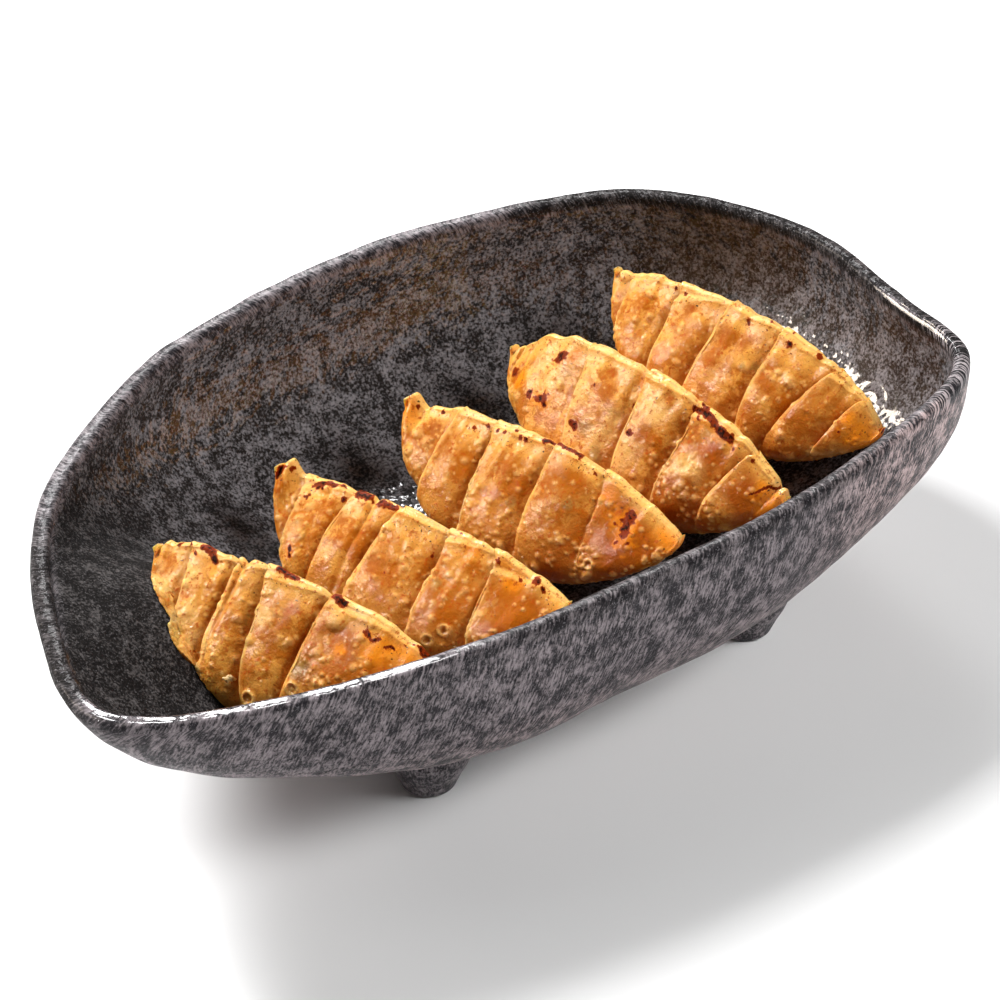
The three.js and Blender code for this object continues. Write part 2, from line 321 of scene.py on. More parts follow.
def speckled_glaze():
    """Charcoal glaze: soft grey flecks inside, fine combed hairs outside and on the lip."""
    glaze = Finish("speckled_charcoal_glaze")
    inside, worn, combed = (glaze.amount(name) for name in ("inside", "worn", "combed"))
    way = glaze.step("ShaderNodeAttribute", {}, attribute_name="comb_way").outputs["Vector"]
    fleck = glaze.mottle(FLECK_SIZE, detail=3, rough=0.5, warp=0.3)
    hairs = glaze.mottle(HAIR_SIZE, detail=3, rough=0.6, along=way)
    long_way = glaze.step("ShaderNodeMapping", {0: way, 3: (1, 1, 0.3)}).outputs[0]
    ridges = glaze.mottle(RIDGE_SIZE, detail=1, along=long_way)
    fleck = glaze.blend(glaze.span(inside, 0, 1, 0.8, 0.15), fleck, hairs)
    fleck = glaze.blend(glaze.sum("MULTIPLY", combed, 0.9), fleck, glaze.span(ridges, 0.34, 0.66))
    cloud = glaze.mottle(CLOUD_SIZE, detail=3, rough=0.6)
    # Painted shade over a browner glaze inside the left end, and the lip's darker stretches:
    # darker colour, fewer flecks, matt and without coat.
    shaded_and_darkened = glaze.amount("shaded_and_darkened")
    spots = glaze.sum("ADD", fleck, glaze.span(cloud, 0.3, 0.7, -0.09, 0.09))
    spots = glaze.sum("SUBTRACT", spots, glaze.sum("MULTIPLY", shaded_and_darkened, 0.06))
    dark = glaze.tint(inside, GROUND, GROUND_INSIDE)
    dark = glaze.tint(shaded_and_darkened, dark, GROUND_SHADED_BROWN)
    pale = glaze.tint(inside, FLECK, FLECK_INSIDE)
    # Stains over the flecks: painted light low on the outside and near the blunt end, painted
    # shade inside the left end, and the satin stretch's partly painted sheen.
    pale = glaze.stack(pale, [("thin", FLECK_PAINTED_LIGHT), ("shaded_and_darkened", FLECK_SHADED_BROWN),
                              ("satin", FLECK_SATIN_SHEEN)])
    pale = glaze.tint(glaze.span(combed, 0.3, 0.9), pale, FLECK_COMBED)
    colour = glaze.tint(glaze.span(spots, 0.38, 0.70), dark, pale)
    grit = glaze.span(glaze.mottle(0.45, detail=1), 0.60, 0.74, 0.0, 0.45)
    colour = glaze.tint(grit, colour, glaze.tint(inside, GRIT, GRIT_INSIDE))
    pits = glaze.span(glaze.mottle(0.9, detail=2), 0.30, 0.42, 0.7, 0.0)
    colour = glaze.tint(pits, colour, PIT)
    reach = glaze.amount("pool_reach")
    rings = glaze.sum("SINE", glaze.sum("MULTIPLY", reach, RIPPLE_TURN), 0)
    rings = glaze.sum("MULTIPLY", rings, glaze.span(reach, 0.08, 0.40, 1, 0))
    ripple = glaze.sum("MULTIPLY", glaze.mottle(2.4, detail=1, rough=0.4), glaze.amount("rippled"))
    ripple = glaze.relief(rings, 0.05, glaze.relief(ripple, 0.45))
    grain = glaze.sum("MULTIPLY", fleck, glaze.span(combed, 0, 1, 0.3, 1.3))
    rough_skin = glaze.relief(grain, 0.55, ripple)
    dull = glaze.sum("MAXIMUM", glaze.sum("MULTIPLY", worn, 0.94), shaded_and_darkened)
    matt = glaze.blend(shaded_and_darkened, glaze.span(fleck, 0.35, 0.7, 0.42, 0.58), 0.85)
    glaze.coat(Base_Color=colour, Normal=rough_skin, IOR=1.45, Specular_IOR_Level=0.12,
               Coat_Weight=glaze.blend(dull, 1.0, 0.0), Coat_Roughness=0.07,
               Roughness=glaze.blend(glaze.amount("satin"), matt, 0.26))
    glaze.feed(glaze.surface.inputs["Coat Normal"], ripple)
    return glaze.material


lip_turn = np.radians(np.linspace(0, 180, LIP_STEPS + 1)[1:-1])
lip_rings = []
for a in lip_turn:            # a slightly flattened half round
    side = math.copysign(abs(math.cos(a)) ** (2 / LIP_FLATNESS), math.cos(a))
    plan = rim_plan(LIP_R * side, THROW_STEPS)
    top = RIM_Z + LIP_R * math.sin(a) ** (2 / LIP_FLATNESS)
    lip_rings.append(np.column_stack([plan, np.full(THROW_STEPS, top)]))
outside_rings = bowl_rings(LIP_R, BODY_DEPTH)
inside_rings = bowl_rings(-LIP_R, FLOOR_DEPTH)[::-1]
faces = []
shell = ring_skin(np.concatenate([outside_rings, lip_rings, inside_rings]), faces)
dish = make_piece("dish_body", shell, faces)
normals = surface_normals(dish)
grid = shell[:-2].reshape(-1, THROW_STEPS, 3)
path = np.cumsum(np.linalg.norm(np.diff(grid, axis=0, prepend=grid[:1]), axis=2), axis=0)
crest = WALL_STEPS + len(lip_turn) // 2
inwards = path - path[crest]                   # from the crest of the lip, + inside
girth = np.linalg.norm(np.diff(grid[crest], axis=0, append=grid[crest][:1]), axis=1)
round_way = girth.sum() / (2 * np.pi)
down = np.abs(inwards)
lean = (np.cumsum(girth) + COMB_LEAN * down.mean(axis=1, keepdims=True)) / round_way
way = np.stack([round_way * np.cos(lean), round_way * np.sin(lean), COMB_STRETCH * down], -1)
comb(dish, "comb_way", np.vstack([way.reshape(-1, 3), way[[0, -1], 0]]))
inwards = np.append(inwards.ravel(), [inwards.min(), inwards.max()])
turn = np.degrees(np.arctan2(shell[:, 1], shell[:, 0])) % 360
outside = ease(1, -1, inwards)
on_lip = ease(5.4, 3.8, np.abs(inwards))

# Relief of the glaze: its waves, the scored line and the pool.
waves =0.16 * lumps(shell, 7.5, 1) + 0.10 * lumps(shell + 40, 4.2, 2)
waves = np.minimum(waves + 0.05 * lumps(shell + 90, 2.6, 3) - GLAZE_SHY, -0.02)
scored = stretch(turn, *SCORED) * ease(-0.8, 0.2, lumps(shell, 9, 5))
for under_crest, wide, high in SCORING:
    waves += high * scored * np.exp(-(((inwards + under_crest) / wide) ** 2))
from_pool = np.linalg.norm(shell - POOL, axis=1)
pooled = ease(116, 104.5, np.hypot(*shell.T[:2])) * ease(28, 12, from_pool) * (1 - outside)
waves += POOL_DEPTH * pooled
shell = shell + normals * waves[:, None]
move_points(dish, shell)

# Where the glaze came out of the kiln glossy, satin or ridged, and where the lip is
# darker. Inside the left end the glaze is a little browner and darkened further as painted
# shade. On the outside, light is painted: the white table's reflection low down and light
# on the front near the blunt end. The satin stretch's paler colour is partly a painted sheen.
wet_front = stretch(turn, *WET_FRONT) * ease(-1.3, -0.5, inwards)
wet_front *= on_lip * ease(-0.7, 0.1, lumps(shell, 3, 4))
wet_corner = stretch(turn, *WET_CORNER) * ease(0.7, 1.1, inwards) * ease(2.9, 2.3, inwards)
glossy = wet_front + wet_corner
# The lip from the back round to the left end is satin: its glaze is smoother, and its paler colour
# is partly a painted sheen.
satin = (0.15 * ease(45, 75, turn) + 0.35 * ease(132, 146, turn)) * ease(180, 160, turn)
ridged = 0.12 + 0.75 * stretch(turn, *RIDGED)
# The lip is darker along some stretches, less where it is glossy.
lip_dimming = on_lip * sum(share * stretch(turn, *where) for share, where in DIMMED_LIP) * (1 - glossy)
# Inside the left end the glaze is a little browner and darkened further as painted shade.
shaded_and_darkened = stretch(turn, *SHADED_BROWN_LEFT) * ease(44, 82.5, np.hypot(*shell.T[:2]))
paint(dish, "inside", ease(4, 7, inwards))
# Painted light on the outside: the white table's reflection, fading up from the bottom, and light
# on the front near the blunt end.
paint(dish, "thin", np.maximum(ease(40, 12, shell[:, 2]), ease(298, 322, turn)) * outside)
paint(dish, "worn", ease(4.5, 3.2, inwards) * (1 - glossy))
paint(dish, "satin", satin * ease(3.4, 1.6, np.abs(inwards)))
paint(dish, "shaded_and_darkened", np.maximum(shaded_and_darkened * ease(3, 7, inwards), lip_dimming))
paint(dish, "combed", on_lip * ridged)
paint(dish, "pool_reach", from_pool / RIPPLE_REACH)
paint(dish, "rippled", ease(3, 20, from_pool) * (1 - 0.75 * glossy) * 0.9 + 0.1)
GLAZE = speckled_glaze()
dish.data.materials.append(GLAZE)
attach(dish, "root")
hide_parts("dish")

# ------------------------------------------------------------------ feet
# Four stubby nubs of the same clay, pressed on under the bowl while it was soft and
# smoothed into it with a wet finger, then glazed with it.
FEET = {"foot_front_left": (-38.7, -43.2), "foot_front_right": (54.4, -44.1),
        "foot_back_left": (-36, 40), "foot_back_right": (50, 45)}
# Radius and height up a foot, and the radii of the rings of its flat underside.
FOOT_PROFILE = [(5.4, 0), (6.3, 0.7), (7, 2.5), (8, 5), (9.4, 8), (10.8, 12), (11.2, 18),
                (11.2, 30)]
UNDERSIDE = (1.5, 3.5, 5.0, 5.3)
FILLET = 3.2              # reach of the smoothed joint, down the foot and along the bowl
SUNK = 0.8                # how far the foot's clay reaches into the bowl's wall
FOOT_POINTS = 96          # points round a foot
FOOT_STEPS = 40           # rings up its side
JOINT_STEPS = 15          # rings of the smoothed joint
TRIAL_HEIGHTS = 1200      # heights tried to find where a foot meets the bowl


def bowl_side(offset, depth):
    """The bowl's outer or inner side: its rim's directions and distances, and depth."""
    plan = rim_plan(offset, 960)
    return np.arctan2(plan[:, 1], plan[:, 0]), np.hypot(plan[:, 0], plan[:, 1]), depth


OUTER_SIDE = bowl_side(LIP_R, BODY_DEPTH)
INNER_SIDE = bowl_side(-LIP_R, FLOOR_DEPTH)


def height_over(x, y, turns, reaches, depth):
    """Height of the bowl's outer or inner side over a point of the plan."""
    reach = np.interp(np.arctan2(y, x), turns, reaches, period=2 * np.pi)
    return bowl_height(depth, x, y, np.hypot(x, y) / reach)


def foot_rings(x, y):
    """Rings of one foot, from the middle of its underside into the bowl's clay."""
    radius, height = (np.array(column, float) for column in zip(*FOOT_PROFILE))
    turn = np.linspace(0, 2 * np.pi, FOOT_POINTS, endpoint=False)

    def bowl_over(r):
        return height_over(x + r * np.cos(turn), y + r * np.sin(turn), *OUTER_SIDE)

    rise = np.linspace(0, height[-1], TRIAL_HEIGHTS)[:, None]
    past = bowl_over(np.interp(rise, height, radius)) < rise
    meets = rise[past.argmax(axis=0), 0]
    corner = np.interp(meets, height, radius)
    low = np.interp(meets - FILLET, height, radius)
    edge = corner + FILLET
    edge_height = bowl_over(edge) + SUNK
    rows = [(r + 0 * turn, 0 * turn) for r in UNDERSIDE]
    for share in np.linspace(0, 1, FOOT_STEPS) ** 1.4:
        z = share * (meets - FILLET)
        rows.append((np.interp(z, height, radius), z))
    for b in np.linspace(0, 1, JOINT_STEPS + 1)[1:]:  # the joint's hollow curve
        rows.append(tuple((1 - b) ** 2 * start + 2 * b * (1 - b) * middle + b * b * end
                          for start, middle, end in ((low, corner, edge),
                                                     (meets - FILLET, meets, edge_height))))
    for share in (0.7, 0.4, 0.1):                     # its back, inside the bowl's clay
        rows.append((edge * share, bowl_over(edge * share) + SUNK))
    return np.array([np.stack([x + r * np.cos(turn), y + r * np.sin(turn), z], -1)
                     for r, z in rows])


for name, place in FEET.items():
    faces = []
    points = ring_skin(foot_rings(*place), faces)
    foot = make_piece(name, points, faces)
    comb(foot, "comb_way", points * (1, 1, 0.3))
    paint(foot, "worn", np.ones(len(points)))
    foot.data.materials.append(GLAZE)
    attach(foot, "root")
    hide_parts("dish")

# ------------------------------------------------------------------ dumplings
# Round wheat wrappers folded over a filling into half moons. The front sheet is
# pleated into overlapping flaps and pinched to the flat back sheet, then pan-fried:
# the skin blisters, the thin seam turns glassy and yellow, and thin spots burn.
BACK = 12.0               # how far the plain back stands out
SHEET = 2.0               # thickness of the pinched seam
ROLL = 4.0                # degrees each one leans onto its back
FLAP = 3.8                # height of a flap's edge over the flap beside it
PILLOW = 1.4              # swelling between two flap edges
SEAM_STEP = 1.0           # rise of the seam where a flap ends in it
SEAM_WAVE = 0.55          # unevenness of the pinched seam
TIP_DEPTH = (4.5, 2.6)    # least height of the seam over the belly at the tips
SEAT = 0.12               # air between a belly and the glaze
GRAIN = 0.34   # spacing of the points of the skin

# at: middle of the belly. head: direction of the near tip. length: from tip to tip.
# height: the seam over the belly. tips: heights of the far and the near tip. front:
# how far the pleated side stands out. lean: how far the seam leans back. bend: its bow.
# horn: rise at its far end. seam: its bumps and nicks: place, height, width. The number
# before tan: how strong the painted shade over the near end is. tan: how tan the belly
# and the band over it came out.
# pleats: one row for each flap edge, far to near: place on the seam, drift, curl, depth
# of the flap's corner, depth at which the edge fades into the belly, strength.
DUMPLINGS = {
    1: dict(
        at=(-63, -23, 22.2), head=-70.8, length=74.3, height=31.3, tips=(24, 24.8),
        front=16.1, lean=3.9, bend=-1.1, horn=0.0, tip_depth=(3.0, 2.6), near_shade=1.1, tan=0.6,
        seam=[(-0.93, 1.6, 0.05), (-0.80, 1.2, 0.16), (-0.30, -1.3, 0.018), (-0.16, 0.5, 0.10)],
        pleats=[(-0.71, 0.23, 0.10, 0.14, 0.67, 1), (-0.35, 0.03, 0.03, 0.12, 0.56, 1),
                (-0.17, 0.16, 0.15, 0.11, 0.51, 1), (0.22, -0.05, 0.06, 0.12, 0.45, 1)]),
    2: dict(
        at=(-19.4, -10.7, 13.6), head=-73.1, length=82.5, height=28.5, tips=(23.6, 22.6),
        front=16.4, lean=5.2, bend=-1.9, horn=2.6, near_shade=1.0, tan=1.1,
        seam=[(-0.91, 2.2, 0.07), (-0.285, -1.1, 0.016)],
        pleats=[(-0.80, 0.17, -0.02, 0.20, 0.70, 1), (-0.40, -0.13, -0.01, 0.11, 0.44, 1),
                (-0.12, -0.16, 0, 0.04, 0.55, 1), (0.13, 0.14, 0.01, 0.13, 0.53, 1),
                (0.39, 0.27, 0.04, 0.22, 0.54, 1)]),
    3: dict(
        at=(21.2, -4.6, 13.5), head=-76.5, length=82.6, height=29.6, tips=(21.3, 21.1),
        front=15.9, lean=3.4, bend=-0.8, horn=3.6, near_shade=1.4, tan=1.0,
        seam=[(-1.0, 1.6, 0.05), (0.08, 1.1, 0.16), (-0.83, -0.6, 0.03)],
        pleats=[(-0.53, -0.07, -0.02, 0.06, 0.72, 1), (-0.30, 0.10, 0.03, 0.08, 0.60, 1),
                (0.06, 0.01, 0.19, 0.03, 0.49, 1), (0.35, 0.23, 0.03, 0.12, 0.40, 0.35)]),
    4: dict(
        at=(53.1, -5, 15.3), head=-83.3, length=91, height=35, tips=(17.4, 21.6),
        front=15.3, lean=2.1, bend=-0.2, horn=1.5, near_shade=1.3, tan=0.45,
        seam=[(-0.72, 1.5, 0.22), (-0.90, -1.6, 0.018), (-0.80, -0.8, 0.011),
              (-0.365, -0.5, 0.012), (0.885, -1.1, 0.016), (0.95, 1.3, 0.03)],
        pleats=[(-0.38, 0.17, 0.10, 0.03, 0.50, 1), (-0.02, 0.09, 0.13, 0.07, 0.49, 1),
                (0.27, 0.07, 0.08, 0.15, 0.52, 1), (0.69, -0.24, 0.18, 0.07, 0.58, 0.8)]),
    5: dict(
        at=(84.5, -4.7, 21.7), head=-81.1, length=85.3, height=32.2, tips=(23.3, 19),
        front=15.3, lean=2.5, bend=0.4, horn=2.1, near_shade=0.7, tan=0.7,
        seam=[(-1.0, 0.9, 0.04)],
        pleats=[(-0.86, 0.17, -0.01, 0.18, 0.70, 0.8), (-0.47, 0.12, -0.01, 0.20, 0.57, 1),
                (-0.12, -0.03, -0.06, 0.03, 0.53, 1), (0.18, 0.03, 0.05, 0.09, 0.48, 1),
                (0.58, -0.29, 0.01, 0.16, 0.44, 1), (0.80, -0.23, 0.12, 0.14, 0.52, 0.7)]),
}
# Profile of a flap's rounded edge, from the groove under it to its top:
# share of the edge's height, and how far it lies under (+) or over (-) its own line.
FLAP_EDGE = [(0.0, 0.60), (0.10, 0.30), (0.28, -0.12), (0.52, -0.36), (0.74, -0.34),
             (0.90, -0.12), (0.98, 0.18), (1.0, 0.55)]
# Colours of the fried skin. The two stacks are painted one over another, the first
# under the toasted patches and the second over them.
DARK_DOUGH = (0.48, 0.142, 0.010)
LIGHT_DOUGH = (0.83, 0.40, 0.074)
# deep: painted shade on the near ends and beside the flaps' edges, and a fried bottom crust
# darkened further as painted shade.
UNDER_TOAST = [("belly", (0.58, 0.235, 0.036)), ("waxy", (0.85, 0.41, 0.078)),
               ("deep", (0.33, 0.068, 0.003))]
TOAST = (0.42, 0.106, 0.004)
# seam: the pale pinched seam, and on the flaps' edges partly a painted highlight. groove: painted
# shade in the creases under the flaps' edges and over their tops, and at the bottom. pale: paler
# patches and blister tops, partly a painted sheen.
OVER_TOAST = [("pale", (0.89, 0.53, 0.17)), ("filling", (0.22, 0.155, 0.045)),
              ("amber", (0.80, 0.24, 0.007)), ("seam", (0.95, 0.60, 0.19)),
              ("groove", (0.17, 0.034, 0.004))]
GRAIN_BROWN = (0.36, 0.095, 0.008)
SPECK = (0.06, 0.02, 0.008)
SCORCH = (0.42, 0.075, 0.005)
BURN = (0.20, 0.022, 0.002)
CHAR = (0.020, 0.004, 0.001)
# Blisters by size: radius from, to, height as a share of the radius, how many.
BLISTERS = [(0.4, 0.75, 0.36, 520), (0.75, 1.3, 0.30, 110), (1.3, 2.0, 0.26, 16)]


def skin_point(d, fold, x, q, side, proud, shift):
    """Points of the skin in the dumpling's own space, and their layout.

    fold and x: which flap and how far across it, 0 to 1. q: 0 at the seam, 1 under
    the belly. side: 1 front, -1 back. proud: how far the flap lifts off the one
    beside it, 0 to 1. shift: sideways shift on a flap's rounded edge.
    """
    rows = [(-1, 0, 0, 0.1, 0.7, 0)] + d["pleats"] + [(1, 0, 0, 0.1, 0.7, 0)]
    e0, e1, e2, corner, fades, strength = np.array(rows, float).T
    half = d["length"] / 2

    def edge(k):
        line = e0[k] + e1[k] * q + e2[k] * q**2
        return line, strength[k] * (1 - ease(fades[k] - 0.12, fades[k] + 0.24, q))

    (left, reach_left), (right, reach_right) = edge(fold), edge(fold + 1)
    t = np.clip(left + (right - left) * x, -1, 1)
    top_line = corner[fold] + (0.035 - corner[fold]) * np.clip(x, 0, 1) ** 0.8
    sheet_on = ease(top_line - 0.012, top_line + 0.014, q)
    filled = ease(top_line + 0.06, top_line + 0.32, q)
    starts = 0.46 * sheet_on + 0.54 * filled
    t = np.clip(t + shift * starts * reach_left * (1 - np.abs(t) ** 5) / half, -1, 1)
    r = np.abs(t)
    ends = 1 - r**5
    tip = np.where(t < 0, d["tips"][0], d["tips"][1])
    down = (1 - np.cos(q * np.pi)) / 2
    belly = tip * (1 - np.maximum(1 - r * r, 0) ** (1 / 1.2))
    seam = tip + (d["height"] - tip) * (1 - r**2.2)
    for place, high, wide in [(-0.95, d["horn"], 0.07)] + d["seam"]:
        seam = seam + high * np.exp(-(((t - place) / wide) ** 2))
    seam = seam + np.where(fold > 0, 1 - x, 0.4) * (1 - r**6) * SEAM_STEP
    run = np.stack([t * half, 0 * t, 0 * t], -1)
    pinch = lumps(run, 4.5, int(half * 9)) + 0.6 * lumps(run, 1.9, int(half * 7))
    seam = seam + SEAM_WAVE * pinch * (1 - r**6)
    seam = np.maximum(seam, belly + np.where(t < 0, *d.get("tip_depth", TIP_DEPTH)))
    along = half * (t * (1.25 - 0.25 * r**1.5) * (1 - down) + t * down)
    up = seam + (belly - seam) * down
    taper = np.maximum(1 - r**2.3, 0) ** 0.72
    swell = np.sin(q * np.pi) * np.abs(np.sin(q * np.pi / 2)) ** 1.8 / 0.669
    sheet = (SHEET / 2) * np.sin(np.minimum(q * 14, 1) * np.pi / 2) * (1 - down)
    out = side * (np.where(side > 0, d["front"], BACK) * taper * swell + sheet)
    out = out - d["lean"] * (1 - down) ** 1.3 * taper**0.3 + d["bend"] * (t * t - 0.4)
    across = reach_left + (reach_right - reach_left) * np.clip(x, 0, 1)
    flaps = FLAP * starts * (proud * reach_left - 0.2 * across)
    pillow = PILLOW * np.sin(np.pi * np.clip(x, 0, 1)) * filled * (1 - ease(0.55, 0.95, q))
    out = out + np.where(side > 0, (flaps + pillow) * ends, 0)
    layout = dict(t=t, q=q, side=side, past_edge=(t - left) * half, to_edge=(right - t) * half,
                  edge_here=starts * reach_left, edge_next=starts * reach_right,
                  below_top=q - top_line, on_flap=reach_left * (fold > 0))
    return np.stack([along, out, up], -1), layout


def set_down(d, local):
    """Rolls a dumpling onto its back, turns it and rests it on the glaze."""
    u, v, w = local[..., 0], local[..., 1], local[..., 2]
    roll, head = math.radians(ROLL), math.radians(d["head"])
    v2 = v * math.cos(roll) - w * math.sin(roll)
    w2 = w * math.cos(roll) + v * math.sin(roll)
    x = d["at"][0] + u * math.cos(head) + v2 * math.sin(head)
    y = d["at"][1] + u * math.sin(head) - v2 * math.cos(head)
    floor = height_over(x, y, *INNER_SIDE) + SEAT
    return np.stack([x, y, np.maximum(d["at"][2] + w2, floor)], -1)


def even_depths(d, side, spacing):
    """Values of q that lie evenly spaced down the middle of one side."""
    q = np.linspace(0, 1, 400)
    middle = np.full(len(q), len(d["pleats"]) // 2)
    place, _ = skin_point(d, middle, 0.5 + 0 * q, q, side + 0 * q, 0.5, 0)
    path = np.concatenate([[0], np.cumsum(np.linalg.norm(np.diff(place, axis=0), axis=1))])
    return np.interp(np.linspace(0, path[-1], int(path[-1] / spacing) + 1), path, q)


def shape_dumpling(d):
    """Rings of points round the dumpling from tip to tip, and their layout."""
    stations = []
    last = len(d["pleats"])
    stops = [-1] + [row[0] for row in d["pleats"]] + [1]
    for fold in range(last + 1):
        if fold:
            stations += [(fold, 0.0, proud, shift) for proud, shift in FLAP_EDGE]
        width = (stops[fold + 1] - stops[fold]) * d["length"] / 2 * 1.1
        across = np.linspace(0, 1, max(int(width / GRAIN), 8) + 1)
        across = across[1 if fold else 0:None if fold == last else -1]
        stations += [(fold, x, 1 - x**1.5 if fold else 0.5 * (1 - x), 0.0) for x in across]
    front = even_depths(d, 1, GRAIN)[:-1]
    back = even_depths(d, -1, GRAIN * 2)[::-1][:-1]
    q = np.concatenate([front, back])[None]
    side = np.concatenate([np.ones(len(front)), -np.ones(len(back))])[None]
    columns = [np.array(column)[:, None] for column in zip(*stations)]
    fold, x, proud, shift, q, side = np.broadcast_arrays(*columns, q, side)
    local, layout = skin_point(d, fold.astype(int), x, q, side, proud, shift)
    steps = np.linalg.norm(np.diff(local, axis=1, append=local[:, :1]), axis=2)
    path = np.cumsum(steps, axis=1) - steps
    layout["from_seam"] = np.minimum(path, path[:, -1:] + steps[:, -1:] - path)
    return local, layout


def fried_dough():
    """Golden fried skin: waxy and yellow at the thin seam, tan and blistered below."""
    dough = Finish("fried_dough_skin")
    big = dough.mottle(7, detail=2)
    mid = dough.mottle(2.4, detail=3, rough=0.62, warp=0.6)
    fine = dough.mottle(1.2, detail=3, rough=0.65)
    cream = dough.sum("ADD", mid, dough.span(big, 0.3, 0.7, -0.12, 0.12))
    colour = dough.tint(dough.span(cream, 0.38, 0.64), DARK_DOUGH, LIGHT_DOUGH)
    colour = dough.stack(colour, UNDER_TOAST)
    toast = dough.sum("ADD", dough.amount("toast"), dough.span(fine, 0.2, 0.8, -0.30, 0.30))
    colour = dough.tint(dough.span(toast, 0.15, 0.95), colour, TOAST)
    colour = dough.stack(colour, OVER_TOAST)
    grain = dough.span(dough.mottle(0.5, detail=2, rough=0.7), 0.36, 0.64, 0.18, 0.0)
    colour = dough.tint(grain, colour, GRAIN_BROWN)
    specks = dough.span(dough.mottle(0.75, detail=1), 0.69, 0.75)
    specks = dough.sum("MULTIPLY", specks, dough.amount("specked"))
    colour = dough.tint(specks, colour, SPECK)
    char = dough.sum("ADD", dough.amount("char"), dough.span(fine, 0.3, 0.7, -0.35, 0.30))
    burn = dough.span(char, 0.30, 0.50)
    colour = dough.tint(dough.span(char, 0.12, 0.36), colour, SCORCH)
    colour = dough.tint(burn, colour, BURN)
    colour = dough.tint(dough.span(char, 0.84, 1.15), colour, CHAR)
    skin = dough.relief(dough.mottle(1.7, detail=3, rough=0.6, warp=0.4), 0.28)
    skin = dough.relief(dough.mottle(0.6, detail=2, rough=0.6), 0.14, skin)
    dry = dough.sum("MAXIMUM", burn, dough.amount("groove"))
    dry = dough.sum("MAXIMUM", dry, dough.span(toast, 0.0, 0.6))
    dough.coat(Base_Color=colour, Normal=skin, IOR=1.4, Specular_IOR_Level=0.06,
               Roughness=dough.span(fine, 0.3, 0.7, 0.34, 0.50),
               Coat_Weight=dough.blend(dry, 0.34, 0.0), Coat_Roughness=0.09,
               Subsurface_Weight=0.35, Subsurface_Scale=0.002,
               Subsurface_Radius=(1.0, 0.40, 0.12))
    dough.feed(dough.surface.inputs["Coat Normal"], skin)
    return dough.material
